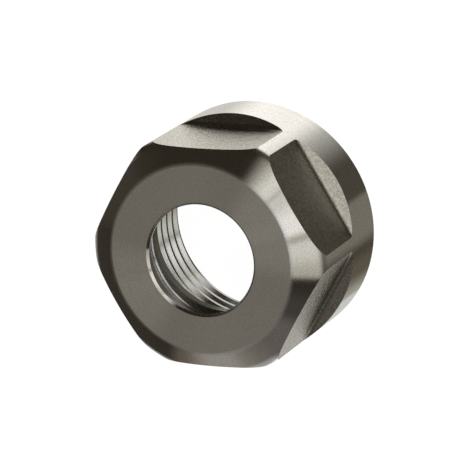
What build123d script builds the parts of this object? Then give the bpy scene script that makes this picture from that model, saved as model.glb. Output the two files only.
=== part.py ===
"""Hexagonal collet nut, turned and milled from one steel bar.

The nut stands on its threaded end, with its axis on Z and its nose up. The origin is the
centre of the threaded end face, and one of the six flats faces +X. All sizes are in mm.
"""
import os
from math import radians, tan

from build123d import *

# Outside of the turned body
body_diameter = 28.0
body_length = 17.0
nose_face_diameter = 21.9
nose_cone_angle = 30.0
nose_edge_radius = 1.2
shoulder_edge_radius = 2.0
back_edge_break = 0.3

# Milled flats, each with a sloping shoulder where the cutter left the bar
flat_count = 6
flat_depth = 1.5
across_flats = body_diameter - 2 * flat_depth
shoulder_height = 6.7
shoulder_slope = 24.5
shoulder_fillet = 0.8

# Nose hole and collet seat
hole_diameter = 12.6
hole_edge_break = 0.26
hole_land = 0.2
seat_half_angle = 30.0
seat_diameter = 15.5
seat_land = 0.7

# Groove for the ring of the collet, and the eccentric lip that pulls the collet out
groove_depth = 1.2
groove_diameter = seat_diameter + 2 * groove_depth
groove_width = 2.8
groove_fillet = 0.3
lip_reach = 0.5
lip_diameter = groove_diameter - 2 * lip_reach
lip_thickness = 1.0
lip_offset = 0.63
lip_direction = 71.0

# Thread M22 x 1.5 as its minor bore, with the cutter's run-out groove and the lead-in
thread_major_diameter = 22.0
thread_pitch = 1.5
thread_minor_diameter = thread_major_diameter - 1.0825 * thread_pitch
relief_diameter = 22.3
relief_width = 2.3
relief_fillet = 0.25
lead_in_diameter = 22.0
lead_in_angle = 60.0

body_radius = body_diameter / 2
nose_face_radius = nose_face_diameter / 2
hole_radius = hole_diameter / 2
seat_radius = seat_diameter / 2
groove_radius = groove_diameter / 2
thread_radius = thread_minor_diameter / 2
relief_radius = relief_diameter / 2
lead_in_radius = lead_in_diameter / 2

# Heights above the threaded end face
cone_low = body_length - (body_radius - nose_face_radius) * tan(radians(nose_cone_angle))
hole_break_low = body_length - hole_edge_break
seat_top = hole_break_low - hole_land
seat_low = seat_top - (seat_radius - hole_radius) / tan(radians(seat_half_angle))
groove_top = seat_low - seat_land
groove_low = groove_top - groove_width
lip_low = groove_low - lip_thickness
relief_low = lip_low - relief_width
lead_in_top = (lead_in_radius - thread_radius) / tan(radians(lead_in_angle))

# One pass of the cutter: the flat, the sloping shoulder and the corner radius between them
cutter_depth = 2 * flat_depth
with BuildPart() as flat_cutter:
    with BuildSketch(Plane.XZ) as pass_section:
        with BuildLine():
            Polyline(
                (across_flats / 2, body_length + cutter_depth),
                (across_flats / 2, shoulder_height),
                (
                    across_flats / 2 + cutter_depth,
                    shoulder_height - cutter_depth * tan(radians(shoulder_slope)),
                ),
                (across_flats / 2 + cutter_depth, body_length + cutter_depth),
                close=True,
            )
        make_face()
        inner_corner = pass_section.vertices().sort_by_distance((across_flats / 2, shoulder_height))[0]
        fillet(inner_corner, shoulder_fillet)
    extrude(amount=body_radius, both=True)

with BuildPart() as collet_nut:
    # Turned blank with its nose cone
    with BuildSketch(Plane.XZ) as blank_section:
        with BuildLine():
            Polyline(
                (0, 0),
                (body_radius - back_edge_break, 0),
                (body_radius, back_edge_break),
                (body_radius, cone_low),
                (nose_face_radius, body_length),
                (0, body_length),
                close=True,
            )
        make_face()
        nose_corner = blank_section.vertices().sort_by_distance((nose_face_radius, body_length))[0]
        fillet(nose_corner, nose_edge_radius)
        cone_corner = blank_section.vertices().sort_by_distance((body_radius, cone_low))[0]
        fillet(cone_corner, shoulder_edge_radius)
    revolve(axis=Axis.Z)

    # Six flats
    with PolarLocations(0, flat_count):
        add(flat_cutter.part, mode=Mode.SUBTRACT)

    # Nose hole, seat cone and ring groove
    with BuildSketch(Plane.XZ) as front_section:
        with BuildLine():
            Polyline(
                (0, body_length),
                (hole_radius + hole_edge_break, body_length),
                (hole_radius, hole_break_low),
                (hole_radius, seat_top),
                (seat_radius, seat_low),
                (seat_radius, groove_top),
                (groove_radius, groove_top),
                (groove_radius, groove_low),
                (0, groove_low),
                close=True,
            )
        make_face()
        groove_corners = front_section.vertices().group_by(Axis.X)[-1]
        fillet(groove_corners, groove_fillet)
    revolve(axis=Axis.Z, mode=Mode.SUBTRACT)

    # Lead-in, thread bore and run-out groove
    with BuildSketch(Plane.XZ) as back_section:
        with BuildLine():
            Polyline(
                (0, 0),
                (lead_in_radius, 0),
                (thread_radius, lead_in_top),
                (thread_radius, relief_low),
                (relief_radius, relief_low),
                (relief_radius, lip_low),
                (0, lip_low),
                close=True,
            )
        make_face()
        relief_corners = back_section.vertices().group_by(Axis.X)[-1]
        fillet(relief_corners, relief_fillet)
    revolve(axis=Axis.Z, mode=Mode.SUBTRACT)

    # Eccentric opening through the lip, which leaves the lip deep on one side only
    with BuildSketch(Plane.XY.offset(lip_low)):
        with PolarLocations(lip_offset, 1, start_angle=lip_direction):
            Circle(lip_diameter / 2)
    extrude(amount=lip_thickness + groove_fillet, mode=Mode.SUBTRACT)

collet_nut.part.label = "collet_nut"

os.makedirs("parts", exist_ok=True)
export_step(collet_nut.part, "parts/collet_nut.step")
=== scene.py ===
"""Hexagonal collet nut: its looks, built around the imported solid."""
from math import cos, pi, radians, sin, tan

import bmesh
import bpy
from mathutils import Matrix, Quaternion, Vector


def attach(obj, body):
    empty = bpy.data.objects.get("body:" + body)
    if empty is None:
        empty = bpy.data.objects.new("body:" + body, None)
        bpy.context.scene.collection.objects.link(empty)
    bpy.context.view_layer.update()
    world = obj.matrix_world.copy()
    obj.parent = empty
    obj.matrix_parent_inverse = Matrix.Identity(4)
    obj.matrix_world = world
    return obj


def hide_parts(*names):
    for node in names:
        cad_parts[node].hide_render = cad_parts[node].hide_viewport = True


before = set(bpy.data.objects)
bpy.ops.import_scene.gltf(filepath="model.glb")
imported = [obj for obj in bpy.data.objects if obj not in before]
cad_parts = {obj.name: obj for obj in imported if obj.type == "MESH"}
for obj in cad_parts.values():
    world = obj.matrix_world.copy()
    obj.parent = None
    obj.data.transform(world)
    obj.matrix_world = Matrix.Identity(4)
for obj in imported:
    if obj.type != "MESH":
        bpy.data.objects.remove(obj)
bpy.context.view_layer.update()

# The nut's sizes in mm, as in the solid
BODY_R = 14.0
BODY_H = 17.0
BACK_EDGE = 0.3
BODY_EDGE_R = 2.0
CONE_ANGLE = radians(30)
NOSE_FACE_R = 10.95
NOSE_EDGE_R = 1.2
ACROSS_FLATS = 25.0
SHOULDER_Z = 6.7
SHOULDER_SLOPE = radians(24.5)
SHOULDER_FILLET = 0.8
HOLE_R = 6.3
HOLE_EDGE = 0.26
HOLE_LAND = 0.2
SEAT_R = 7.75
SEAT_ANGLE = radians(30)
SEAT_LAND = 0.7
GROOVE_R = 8.95
GROOVE_WIDTH = 2.8
GROOVE_CORNER = 0.3
LIP_R = 8.45
LIP_WIDTH = 1.0
LIP_OFFSET = 0.63
LIP_SIDE = radians(71)
RELIEF_R = 11.15
RELIEF_WIDTH = 2.3
RELIEF_CORNER = 0.25
THREAD_R = 10.188
PITCH = 1.5
FLANK = radians(30)
LEAD_IN_R = 11.0
LEAD_IN_ANGLE = radians(60)

# Heights that follow from them, from the nose down
CONE_LOW = BODY_H - (BODY_R - NOSE_FACE_R) * tan(CONE_ANGLE)
HOLE_LOW = BODY_H - HOLE_EDGE
SEAT_HIGH = HOLE_LOW - HOLE_LAND
SEAT_LOW = SEAT_HIGH - (SEAT_R - HOLE_R) / tan(SEAT_ANGLE)
GROOVE_HIGH = SEAT_LOW - SEAT_LAND
GROOVE_LOW = GROOVE_HIGH - GROOVE_WIDTH
LIP_LOW = GROOVE_LOW - LIP_WIDTH
RELIEF_LOW = LIP_LOW - RELIEF_WIDTH
LEAD_IN_HIGH = (LEAD_IN_R - THREAD_R) / tan(LEAD_IN_ANGLE)

TURN_STEPS = 360
NEAR = 0.004
MM = 0.001


# Finishes: base colours, one of them darkened as painted shade for the groove, and the sizes of what the tools
# leave on the steel

STEEL = (0.585, 0.578, 0.56)
BORE_STEEL = (0.57, 0.575, 0.58)
# Painted shade: a darker steel for the groove's roof and the lip's top, standing in for the shade in that recess
GROOVE_PAINTED_SHADE = (0.3, 0.29, 0.27)
BLASTED_STEEL = (0.414, 0.4, 0.364)
RING_GAP = 0.2 * MM
BAND_GAP = 0.9 * MM
SMEAR_SIZE = 4 * MM
GRAIN_SIZE = 0.16 * MM


def finish_of(name, base, roughness, anisotropic=0.0):
    """A metal finish: the material, its nodes and links, and its Principled shader."""
    steel = bpy.data.materials.new(name)
    steel.use_nodes = True
    nodes, links = steel.node_tree.nodes, steel.node_tree.links
    shader = nodes["Principled BSDF"]
    shader.inputs["Base Color"].default_value = (*base, 1)
    shader.inputs["Metallic"].default_value = 1
    shader.inputs["Roughness"].default_value = roughness
    shader.inputs["Anisotropic"].default_value = anisotropic
    return steel, nodes, links, shader


def feed(links, socket, value):
    """Gives a socket a plain value, or a link from another socket."""
    if isinstance(value, (int, float, tuple)):
        socket.default_value = value
    else:
        links.new(value, socket)


def calc(nodes, links, operation, first, second=0.5):
    step = nodes.new("ShaderNodeMath")
    step.operation = operation
    for socket, value in zip(step.inputs, (first, second)):
        feed(links, socket, value)
    return step.outputs[0]


def flat_length(nodes, links, vector):
    """Length of a vector's x and y part, and the sockets of its three parts."""
    parts = nodes.new("ShaderNodeSeparateXYZ")
    links.new(vector, parts.inputs[0])
    x, y, z = parts.outputs
    squares = calc(nodes, links, "ADD", calc(nodes, links, "MULTIPLY", x, x), calc(nodes, links, "MULTIPLY", y, y))
    return calc(nodes, links, "SQRT", squares), x, y, z


def noise(nodes, links, dimensions, size, detail, rough, place):
    """Noise with features of size metres."""
    field = nodes.new("ShaderNodeTexNoise")
    field.noise_dimensions = dimensions
    field.inputs["Scale"].default_value = 1 / size
    field.inputs["Detail"].default_value = detail
    field.inputs["Roughness"].default_value = rough
    links.new(place, field.inputs["W" if dimensions == "1D" else "Vector"])
    return field.outputs["Fac"]


def bump(nodes, links, shader, heights):
    """Bumps one on top of the other, each a height field and its depth in metres."""
    normal = None
    for height, depth in heights:
        step = nodes.new("ShaderNodeBump")
        step.inputs["Distance"].default_value = depth
        links.new(height, step.inputs["Height"])
        if normal:
            links.new(normal, step.inputs["Normal"])
        normal = step.outputs[0]
    links.new(normal, shader.inputs["Normal"])


def shaded(nodes, links, shader, base, field, low, high):
    """Base colour that goes from low to high times its plain value with a field."""
    span = nodes.new("ShaderNodeMapRange")
    links.new(field, span.inputs["Value"])
    span.inputs["From Min"].default_value = 0.25
    span.inputs["From Max"].default_value = 0.75
    span.inputs["To Min"].default_value = low
    span.inputs["To Max"].default_value = high
    colour = nodes.new("ShaderNodeVectorMath")
    colour.operation = "SCALE"
    colour.inputs[0].default_value = base
    links.new(span.outputs[0], colour.inputs["Scale"])
    links.new(colour.outputs[0], shader.inputs["Base Color"])


def turned(name, base, depth, wave, grain, roughness=0.165, anisotropic=1.0):
    """Turned steel: rings round the axis, of a depth in metres, and a tone that goes with bands and smears
    by wave and with a fine grain by grain."""
    steel, nodes, links, shader = finish_of(name, base, roughness, anisotropic)
    place = nodes.new("ShaderNodeTexCoord").outputs["Object"]
    radius, _, _, height = flat_length(nodes, links, place)
    along = calc(nodes, links, "SUBTRACT", radius, height)
    rings = noise(nodes, links, "1D", RING_GAP, 2, 0.6, along)
    bands = noise(nodes, links, "1D", BAND_GAP, 3, 0.6, along)
    smears = noise(nodes, links, "3D", SMEAR_SIZE, 2, 0.5, place)
    grains = noise(nodes, links, "3D", GRAIN_SIZE, 1, 0.5, place)
    bump(nodes, links, shader, ((rings, depth),))
    tone = calc(nodes, links, "MULTIPLY", bands, 0.4)
    for field, part in ((smears, 0.25), (rings, 0.35)):
        tone = calc(nodes, links, "ADD", tone, calc(nodes, links, "MULTIPLY", field, part))
    tone = calc(nodes, links, "MULTIPLY", calc(nodes, links, "SUBTRACT", tone, 0.5), wave)
    speckle = calc(nodes, links, "MULTIPLY", calc(nodes, links, "SUBTRACT", grains, 0.5), grain)
    tone = calc(nodes, links, "ADD", calc(nodes, links, "ADD", tone, speckle), 0.5)
    shaded(nodes, links, shader, base, tone, 0.5, 1.5)
    round_axis = nodes.new("ShaderNodeTangent")
    round_axis.direction_type = "RADIAL"
    round_axis.axis = "Z"
    links.new(round_axis.outputs[0], shader.inputs["Tangent"])
    shader.inputs["Anisotropic Rotation"].default_value = 0.25
    return steel


def blasted(name, base, roughness, grain, depth, dust, tooth):
    """Milled and blasted steel: an even grain of a size and depth, and on it a finer one that makes it matt,
    with the size dust and the depth tooth, all in metres."""
    steel, nodes, links, shader = finish_of(name, base, roughness)
    place = nodes.new("ShaderNodeTexCoord").outputs["Object"]
    grains = noise(nodes, links, "3D", grain, 2, 0.65, place)
    finest = noise(nodes, links, "3D", dust, 0, 0.5, place)
    bump(nodes, links, shader, ((grains, depth), (finest, tooth)))
    shaded(nodes, links, shader, base, grains, 0.72, 1.28)
    return steel


turned_steel = turned("turned_steel", STEEL, depth=0.005 * MM, wave=0.08, grain=0.25)
faced_steel = turned("faced_steel", STEEL, depth=0.005 * MM, wave=0.08, grain=0.18)
bored_steel = turned("bored_steel", BORE_STEEL, depth=0.01 * MM, wave=0.16, grain=0.2)
thread_steel = turned(
    "thread_steel", BORE_STEEL, depth=0.01 * MM, wave=0.16, grain=0.2, roughness=0.18, anisotropic=0.9,
)
# Groove roof and lip top: its dark base colour is painted shade inside the recess
groove_painted_shade_steel = turned(
    "groove_painted_shade_steel", GROOVE_PAINTED_SHADE, depth=0.008 * MM, wave=0.15, grain=0.2, roughness=0.35, anisotropic=0.6,
)
side_steel = turned("side_steel", STEEL, depth=0.006 * MM, wave=0.12, grain=0.36)
blasted_steel = blasted(
    "blasted_steel", BLASTED_STEEL, roughness=0.22, grain=0.3 * MM, depth=0.02 * MM, dust=0.05 * MM,
    tooth=0.014 * MM,
)


# Modelling helpers

def work_on(piece):
    bpy.ops.object.select_all(action="DESELECT")
    piece.select_set(True)
    bpy.context.view_layer.objects.active = piece


def edit(piece, kind="EDGE"):
    work_on(piece)
    bpy.ops.object.mode_set(mode="EDIT")
    bpy.ops.mesh.select_mode(type=kind)


def done():
    bpy.ops.object.mode_set(mode="OBJECT")


def pick(piece, kind, wanted):
    """Selects the verts, edges or faces of which every vertex passes wanted."""
    bpy.ops.mesh.select_mode(type=kind)
    bpy.ops.mesh.select_all(action="DESELECT")
    shape = bmesh.from_edit_mesh(piece.data)
    parts = {"VERT": shape.verts, "EDGE": shape.edges, "FACE": shape.faces}[kind]
    for part in parts:
        corners = [part] if kind == "VERT" else part.verts
        if all(wanted(v.co) for v in corners):
            part.select_set(True)
    shape.select_flush_mode()
    bmesh.update_edit_mesh(piece.data)


def on_ring(radius, height):
    return lambda co: abs(co.xy.length - radius) < NEAR and abs(co.z - height) < NEAR


def cut(piece, tool):
    """Takes the tool's shape out of the piece."""
    work_on(piece)
    bpy.ops.object.modifier_add(type="BOOLEAN")
    taken = piece.modifiers[-1]
    taken.operation = "DIFFERENCE"
    taken.solver = "EXACT"
    taken.material_mode = "TRANSFER"
    taken.object = tool
    bpy.ops.object.modifier_apply(modifier=taken.name)
    work_on(tool)
    bpy.ops.object.delete()


# Turned body: a ring drawn up the outside, over the nose and down the bore

LIP_STOCK_R = LIP_R - 1
stations = [
    (BODY_R - BACK_EDGE, 0), (BODY_R, BACK_EDGE), (BODY_R, CONE_LOW), (NOSE_FACE_R, BODY_H),
    (HOLE_R + HOLE_EDGE, BODY_H), (HOLE_R, HOLE_LOW), (HOLE_R, SEAT_HIGH), (SEAT_R, SEAT_LOW),
    (SEAT_R, GROOVE_HIGH), (GROOVE_R, GROOVE_HIGH), (GROOVE_R, GROOVE_LOW), (LIP_STOCK_R, GROOVE_LOW),
    (LIP_STOCK_R, LIP_LOW), (RELIEF_R, LIP_LOW), (RELIEF_R, RELIEF_LOW), (THREAD_R, RELIEF_LOW),
    (THREAD_R, LEAD_IN_HIGH), (LEAD_IN_R, 0),
]
bpy.ops.object.select_all(action="DESELECT")
bpy.ops.mesh.primitive_circle_add(vertices=TURN_STEPS, radius=stations[0][0], location=(0, 0, 0))
nut = bpy.context.object
nut.name = "nut_body"
edit(nut)
bpy.ops.mesh.select_all(action="SELECT")
for (r0, z0), (r1, z1) in zip(stations, stations[1:]):
    bpy.ops.mesh.extrude_region_move(TRANSFORM_OT_translate={"value": (0, 0, z1 - z0)})
    bpy.ops.transform.resize(value=(r1 / r0, r1 / r0, 1), center_override=(0, 0, z1))
pick(nut, "EDGE", lambda co: abs(co.z) < NEAR)
bpy.ops.mesh.bridge_edge_loops()

for radius, height, reach, segments in (
    (NOSE_FACE_R, BODY_H, NOSE_EDGE_R * tan(CONE_ANGLE / 2), 10),
    (BODY_R, CONE_LOW, BODY_EDGE_R * tan((pi / 2 - CONE_ANGLE) / 2), 16),
    (GROOVE_R, GROOVE_HIGH, GROOVE_CORNER, 5),
    (GROOVE_R, GROOVE_LOW, GROOVE_CORNER, 5),
    (RELIEF_R, LIP_LOW, RELIEF_CORNER, 4),
    (RELIEF_R, RELIEF_LOW, RELIEF_CORNER, 4),
):
    pick(nut, "EDGE", on_ring(radius, height))
    bpy.ops.mesh.bevel(offset=reach, offset_type="OFFSET", segments=segments, profile=0.5, affect="EDGES")
bpy.ops.mesh.select_all(action="SELECT")
bpy.ops.mesh.normals_make_consistent(inside=False)

for steel in (turned_steel, bored_steel, thread_steel, blasted_steel, groove_painted_shade_steel, side_steel, faced_steel):
    nut.data.materials.append(steel)
for steel, wanted in (
    (side_steel, lambda co: co.xy.length > BODY_R - BACK_EDGE - NEAR and co.z < CONE_LOW),
    (faced_steel, lambda co: co.z > BODY_H - NEAR),
    (bored_steel, lambda co: co.xy.length < RELIEF_R + NEAR and RELIEF_LOW - NEAR < co.z < BODY_H - NEAR),
    (thread_steel, lambda co: co.xy.length < LEAD_IN_R + NEAR and co.z < RELIEF_LOW + NEAR),
    # The groove's roof and the lip's top take the dark steel, painted shade inside the recess
    (groove_painted_shade_steel, lambda co: co.xy.length < GROOVE_R and abs(co.z - GROOVE_HIGH) < NEAR),
    (groove_painted_shade_steel, lambda co: co.xy.length < GROOVE_R and abs(co.z - GROOVE_LOW) < NEAR),
):
    pick(nut, "FACE", wanted)
    nut.active_material_index = nut.data.materials.find(steel.name)
    bpy.ops.object.material_slot_assign()
done()

# Milling cutter for one flat, then six of them round the nut

CUTTER_DEPTH, CUTTER_WIDTH, CUTTER_HEIGHT = 3, 14.2, 13
bpy.ops.object.select_all(action="DESELECT")
bpy.ops.mesh.primitive_cube_add(
    size=1, location=(ACROSS_FLATS / 2 + CUTTER_DEPTH / 2, 0, SHOULDER_Z + CUTTER_HEIGHT / 2),
    scale=(CUTTER_DEPTH, CUTTER_WIDTH, CUTTER_HEIGHT),
)
cutter = bpy.context.object
bpy.ops.object.transform_apply(location=True, rotation=True, scale=True)
cutter.data.materials.append(blasted_steel)
edit(cutter, "VERT")
pick(cutter, "VERT", lambda co: co.x > ACROSS_FLATS / 2 + 1 and co.z < SHOULDER_Z + 1)
bpy.ops.transform.translate(value=(0, 0, -CUTTER_DEPTH * tan(SHOULDER_SLOPE)))
pick(cutter, "EDGE", lambda co: co.x < ACROSS_FLATS / 2 + 1 and co.z < SHOULDER_Z + 1)
bpy.ops.mesh.bevel(
    offset=SHOULDER_FILLET * tan((pi / 2 - SHOULDER_SLOPE) / 2), offset_type="OFFSET", segments=10, profile=0.5,
    affect="EDGES",
)
bpy.ops.mesh.select_all(action="SELECT")
bpy.ops.mesh.normals_make_consistent(inside=False)
for _ in range(5):
    bpy.ops.mesh.duplicate()
    bpy.ops.transform.rotate(value=pi / 3, orient_axis="Z", center_override=(0, 0, 0))
done()
cut(nut, cutter)

# Eccentric opening through the lip

OPENING_HIGH, OPENING_DEPTH = GROOVE_LOW + 0.3, 2.1
bpy.ops.object.select_all(action="DESELECT")
bpy.ops.mesh.primitive_cylinder_add(
    vertices=TURN_STEPS, radius=LIP_R, depth=OPENING_DEPTH,
    location=(LIP_OFFSET * cos(LIP_SIDE), LIP_OFFSET * sin(LIP_SIDE), OPENING_HIGH - OPENING_DEPTH / 2),
)
bpy.context.object.data.materials.append(bored_steel)
cut(nut, bpy.context.object)

# Thread: the space of its groove, drawn out as a coil between two radii, with its half widths at both

COIL_IN, COIL_OUT = 9.9, 10.97
COIL_START = -2.4083
COIL_START_TURN = radians(0.5)
COIL_TURNS = 7
HALF_OUT = 0.1111
HALF_IN = HALF_OUT + (COIL_OUT - COIL_IN) * tan(FLANK)
bpy.ops.object.select_all(action="DESELECT")
bpy.ops.mesh.primitive_plane_add(size=1, location=(0, 0, 0), rotation=(pi / 2, 0, 0))
coil = bpy.context.object
bpy.ops.object.transform_apply(location=True, rotation=True, scale=True)
coil.data.materials.append(thread_steel)
edit(coil, "VERT")
bpy.ops.mesh.select_all(action="SELECT")
bpy.ops.transform.resize(value=(COIL_OUT - COIL_IN, 1, 2 * HALF_IN), center_override=(0, 0, 0))
bpy.ops.transform.translate(value=((COIL_IN + COIL_OUT) / 2, 0, COIL_START))
pick(coil, "VERT", lambda co: co.x > THREAD_R)
bpy.ops.transform.resize(value=(1, 1, HALF_OUT / HALF_IN), center_override=(0, 0, COIL_START))
bpy.ops.mesh.select_all(action="SELECT")
bpy.ops.mesh.delete(type="ONLY_FACE")
bpy.ops.mesh.select_all(action="SELECT")
bpy.ops.transform.rotate(value=COIL_START_TURN, orient_axis="Z", center_override=(0, 0, 0))
done()
bpy.ops.object.modifier_add(type="SCREW")
wind = coil.modifiers[-1]
wind.axis = "Z"
wind.angle = 2 * pi
wind.screw_offset = PITCH
wind.iterations = COIL_TURNS
wind.steps = wind.render_steps = TURN_STEPS // 2
wind.use_smooth_shade = False
bpy.ops.object.modifier_apply(modifier=wind.name)
edit(coil)
bpy.ops.mesh.select_all(action="SELECT")
bpy.ops.mesh.fill_holes(sides=0)
bpy.ops.mesh.select_all(action="SELECT")
bpy.ops.mesh.normals_make_consistent(inside=False)
done()
cut(nut, coil)

# From mm to metres, and smooth across all but the real edges

edit(nut)
bpy.ops.mesh.select_all(action="SELECT")
bpy.ops.transform.resize(value=(MM, MM, MM), center_override=(0, 0, 0))
done()
work_on(nut)
bpy.ops.object.shade_smooth_by_angle(angle=radians(12))
bpy.ops.object.modifier_add(type="WEIGHTED_NORMAL")
weighted = nut.modifiers[-1]
weighted.keep_sharp = True
bpy.ops.object.modifier_apply(modifier=weighted.name)

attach(nut, "root")
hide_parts("collet_nut")

# Camera, on the line of the photograph: its focal length in pixels of the picture, and its turn and shift

PICTURE_PX = 470
FOCAL_PX = 3624.9182
SENSOR_WIDTH = 36
camera = bpy.data.objects.new("camera", bpy.data.cameras.new("camera"))
bpy.context.scene.collection.objects.link(camera)
camera.data.sensor_width = SENSOR_WIDTH
camera.data.lens = FOCAL_PX / PICTURE_PX * SENSOR_WIDTH
rotvec = Vector((3.10921004, -0.812441645, -0.771644157))
shift = Vector((2.91488607, -1.76174860, 413.974739)) * MM
turn = Quaternion(rotvec.normalized(), rotvec.length).to_matrix().transposed()
camera.matrix_world = Matrix.Translation(-(turn @ shift)) @ (turn @ Matrix.Diagonal((1, -1, -1))).to_4x4()
camera.data.clip_start = 0.01
camera.data.clip_end = 10
bpy.context.scene.camera = camera


# Studio

def way(azimuth, height):
    """Direction at an azimuth and a height over the horizon, in degrees."""
    a, h = radians(azimuth), radians(height)
    return (cos(a) * cos(h), sin(a) * cos(h), sin(h))


world = bpy.data.worlds.new("studio")
bpy.context.scene.world = world
world.use_nodes = True
nodes, links = world.node_tree.nodes, world.node_tree.links
room = nodes["Background"]
direction = nodes.new("ShaderNodeTexCoord").outputs["Generated"]

# The lights are set out by the steel that mirrors them to the front: its turn round the nut and its slant,
# which both lie halfway between the light and the front

NUT_MIDDLE = Vector((0, 0, 12 * MM))
front = (camera.matrix_world.translation - NUT_MIDDLE).normalized()
halfway = nodes.new("ShaderNodeVectorMath")
halfway.operation = "ADD"
links.new(direction, halfway.inputs[0])
halfway.inputs[1].default_value = front
level, x_part, y_part, z_part = flat_length(nodes, links, halfway.outputs[0])
turn_round = calc(nodes, links, "ARCTAN2", y_part, x_part)
slant = calc(nodes, links, "ARCTAN2", z_part, level)


def slope(value, start, end):
    """Smooth step of a value from 0 at start to 1 at end."""
    ramp = nodes.new("ShaderNodeMapRange")
    ramp.interpolation_type = "SMOOTHSTEP"
    links.new(value, ramp.inputs["Value"])
    low, high = sorted((start, end))
    ramp.inputs["From Min"].default_value = low
    ramp.inputs["From Max"].default_value = high
    ramp.inputs["To Min"].default_value = 0 if start < end else 1
    ramp.inputs["To Max"].default_value = 1 if start < end else 0
    return ramp.outputs[0]


def lit(shape, tint):
    """A tint as strong as a shape says."""
    colour = nodes.new("ShaderNodeVectorMath")
    colour.operation = "SCALE"
    colour.inputs[0].default_value = tint
    links.new(shape, colour.inputs["Scale"])
    return colour.outputs[0]


def patch(azimuth, height, inner, outer, tint):
    """A soft-edged round patch of light in the room: full within inner degrees, gone at outer."""
    dot = nodes.new("ShaderNodeVectorMath")
    dot.operation = "DOT_PRODUCT"
    links.new(direction, dot.inputs[0])
    dot.inputs[1].default_value = way(azimuth, height)
    return lit(slope(dot.outputs["Value"], cos(radians(outer)), cos(radians(inner))), tint)


def panel(left, right, low, high, soft, tint):
    """A panel of light for steel of these turns and slants in degrees, with the widths of its soft edges
    at the left, right, low and high side."""
    sides = []
    for value, side, edge, inward in (
        (turn_round, left, soft[0], 1), (turn_round, right, soft[1], -1),
        (slant, low, soft[2], 1), (slant, high, soft[3], -1),
    ):
        sides.append(slope(value, radians(side - inward * edge / 2), radians(side + inward * edge / 2)))
    across = calc(nodes, links, "MULTIPLY", sides[0], sides[1])
    upward = calc(nodes, links, "MULTIPLY", sides[2], sides[3])
    return lit(calc(nodes, links, "MULTIPLY", across, upward), tint)


def added(first, second):
    both = nodes.new("ShaderNodeVectorMath")
    both.operation = "ADD"
    feed(links, both.inputs[0], first)
    feed(links, both.inputs[1], second)
    return both.outputs[0]


light = (0.0366, 0.0274, 0.0200)
for share in (
    # For the cone, the shoulders and the face: front, left, behind
    panel(-36.8, 27, 29, 80, (2.5, 10, 12, 12), (0.534, 0.511, 0.441)),
    panel(-27, -17, 36, 80, (8, 2.5, 14, 12), (0.228, 0.219, 0.250)),
    panel(-33, -17, 36, 80, (12, 3, 14, 12), (0.177, 0.193, 0.169)),
    panel(-13, 10.4, 36, 80, (4, 2.5, 14, 12), (0.360, 0.366, 0.377)),
    panel(-13, 1, 36, 80, (4, 12, 14, 12), (0.366, 0.354, 0.372)),
    panel(11.8, 21, 36, 80, (2.5, 10, 14, 12), (0.497, 0.514, 0.492)),
    panel(-139, -92, 34, 78, (10, 30, 16, 12), (0.130, 0.112, 0.092)),
    panel(-126, -99, 34, 78, (18, 20, 16, 12), (0.258, 0.255, 0.246)),
    panel(-96, -62, 34, 78, (14, 10, 16, 12), (0.134, 0.126, 0.119)),
    panel(-62, -46, 34, 78, (10, 12, 16, 12), (0.034, 0.034, 0.032)),
    panel(90, 134, 34, 78, (30, 6, 16, 12), (0.017, 0.018, 0.012)),
    patch(-150, 60, 10, 30, (0.074, 0.072, 0.076)),
    patch(180, 62, 12, 32, (0.142, 0.136, 0.108)),
    # For the sides and the flats: left, front, right
    panel(-88, -60.1, -60, 26, (4, 1.5, 20, 16), (0.824, 0.839, 0.822)),
    panel(-60.1, -53, -60, 26, (1.5, 14, 20, 16), (0.382, 0.376, 0.341)),
    panel(-60.1, -37, -60, 26, (1.5, 14, 20, 16), (0.114, 0.100, 0.075)),
    panel(-32.5, -11.8, -60, 20, (8, 3, 20, 16), (0.213, 0.202, 0.170)),
    panel(-11.8, 12, -60, 14, (2, 16, 20, 14), (0.033, 0.032, 0.026)),
    panel(17, 88, -60, 10, (28, 10, 20, 4), (0.885, 0.877, 0.828)),
    panel(27, 60, -60, 10, (14, 18, 20, 4), (0.703, 0.653, 0.630)),
    panel(44, 88, 10, 16, (12, 10, 4, 8), (1.386, 1.385, 1.224)),
    panel(-100, -84, -30, 20, (8, 8, 20, 24), (1.239, 1.202, 1.264)),
    panel(-100, -84, 20, 44, (8, 8, 24, 16), (0.358, 0.367, 0.360)),
    patch(0, -90, 8, 28, (0.076, 0.074, 0.050)),
    # Low round the back, for the other sides
    panel(100, 200, 30, 49, (16, 1, 8, 8), (0.405, 0.401, 0.394)),
    panel(-200, -100, 30, 49, (1, 16, 8, 8), (0.405, 0.401, 0.394)),
):
    light = added(light, share)
links.new(light, room.inputs["Color"])
white = nodes.new("ShaderNodeBackground")
white.inputs["Color"].default_value = (1, 1, 1, 1)
path = nodes.new("ShaderNodeLightPath")
seen = calc(nodes, links, "MAXIMUM", path.outputs["Is Camera Ray"], path.outputs["Is Transmission Ray"])
either = nodes.new("ShaderNodeMixShader")
links.new(seen, either.inputs[0])
links.new(room.outputs[0], either.inputs[1])
links.new(white.outputs[0], either.inputs[2])
links.new(either.outputs[0], nodes["World Output"].inputs["Surface"])

# Floor: pale, almost white to the camera, and darker where the nut keeps the light off

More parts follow.
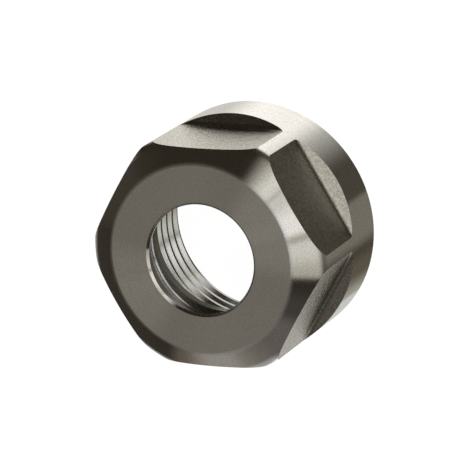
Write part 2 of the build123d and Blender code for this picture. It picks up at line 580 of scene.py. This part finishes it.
bpy.ops.object.select_all(action="DESELECT")
bpy.ops.mesh.primitive_plane_add(size=6, location=(0, 0, 0))
floor = bpy.context.object
floor.name = "floor"
pale = bpy.data.materials.new("pale_floor")
pale.use_nodes = True
nodes, links = pale.node_tree.nodes, pale.node_tree.links
matt = nodes.new("ShaderNodeBsdfDiffuse")
matt.inputs["Color"].default_value = (0.2, 0.2, 0.2, 1)
glow = nodes.new("ShaderNodeEmission")
glow.inputs["Strength"].default_value = 0.97
nodes.remove(nodes["Principled BSDF"])
path = nodes.new("ShaderNodeLightPath")
bright = nodes.new("ShaderNodeAddShader")
links.new(matt.outputs[0], bright.inputs[0])
links.new(glow.outputs[0], bright.inputs[1])
plain = nodes.new("ShaderNodeBsdfDiffuse")
plain.inputs["Color"].default_value = (0.8, 0.8, 0.8, 1)
either = nodes.new("ShaderNodeMixShader")
links.new(path.outputs["Is Camera Ray"], either.inputs[0])
links.new(plain.outputs[0], either.inputs[1])
links.new(bright.outputs[0], either.inputs[2])
links.new(either.outputs[0], nodes["Material Output"].inputs["Surface"])
floor.data.materials.append(pale)
floor.visible_glossy = False

# Light sheet under the bore, which the thread and the groove mirror

SHEET_R, SHEET_Z = 13.5 * MM, -0.02 * MM
bpy.ops.object.select_all(action="DESELECT")
bpy.ops.mesh.primitive_circle_add(vertices=96, radius=SHEET_R, fill_type="NGON", location=(0, 0, SHEET_Z))
sheet = bpy.context.object
sheet.name = "sheet_under_bore"
shine = bpy.data.materials.new("sheet_shine")
shine.use_nodes = True
nodes, links = shine.node_tree.nodes, shine.node_tree.links
nodes.remove(nodes["Principled BSDF"])
spot = nodes.new("ShaderNodeTexCoord").outputs["Object"]


def pool(x, y, inner, outer, tint):
    """A soft-edged pool of light on the sheet, in mm: full within inner of its middle, gone at outer."""
    reach = nodes.new("ShaderNodeVectorMath")
    reach.operation = "DISTANCE"
    links.new(spot, reach.inputs[0])
    reach.inputs[1].default_value = (x * MM, y * MM, 0)
    return lit(slope(reach.outputs["Value"], outer * MM, inner * MM), tint)


shown = (0.052, 0.052, 0.015)
for share in (
    pool(-7.36, -4.25, 1.5, 4, (0.920, 0.886, 0.875)),
    pool(0, -8.5, 1.5, 4, (0.165, 0.138, 0.133)),
    pool(0, 0, 2, 6, (0.105, 0.088, 0.097)),
    pool(3.5, 6.06, 2, 5, (0.647, 0.557, 0.606)),
):
    shown = added(shown, share)
glow = nodes.new("ShaderNodeEmission")
links.new(shown, glow.inputs["Color"])
links.new(glow.outputs[0], nodes["Material Output"].inputs["Surface"])
sheet.data.materials.append(shine)
sheet.visible_camera = False
sheet.visible_diffuse = False
sheet.visible_shadow = False

bpy.context.scene.view_settings.view_transform = "Standard"
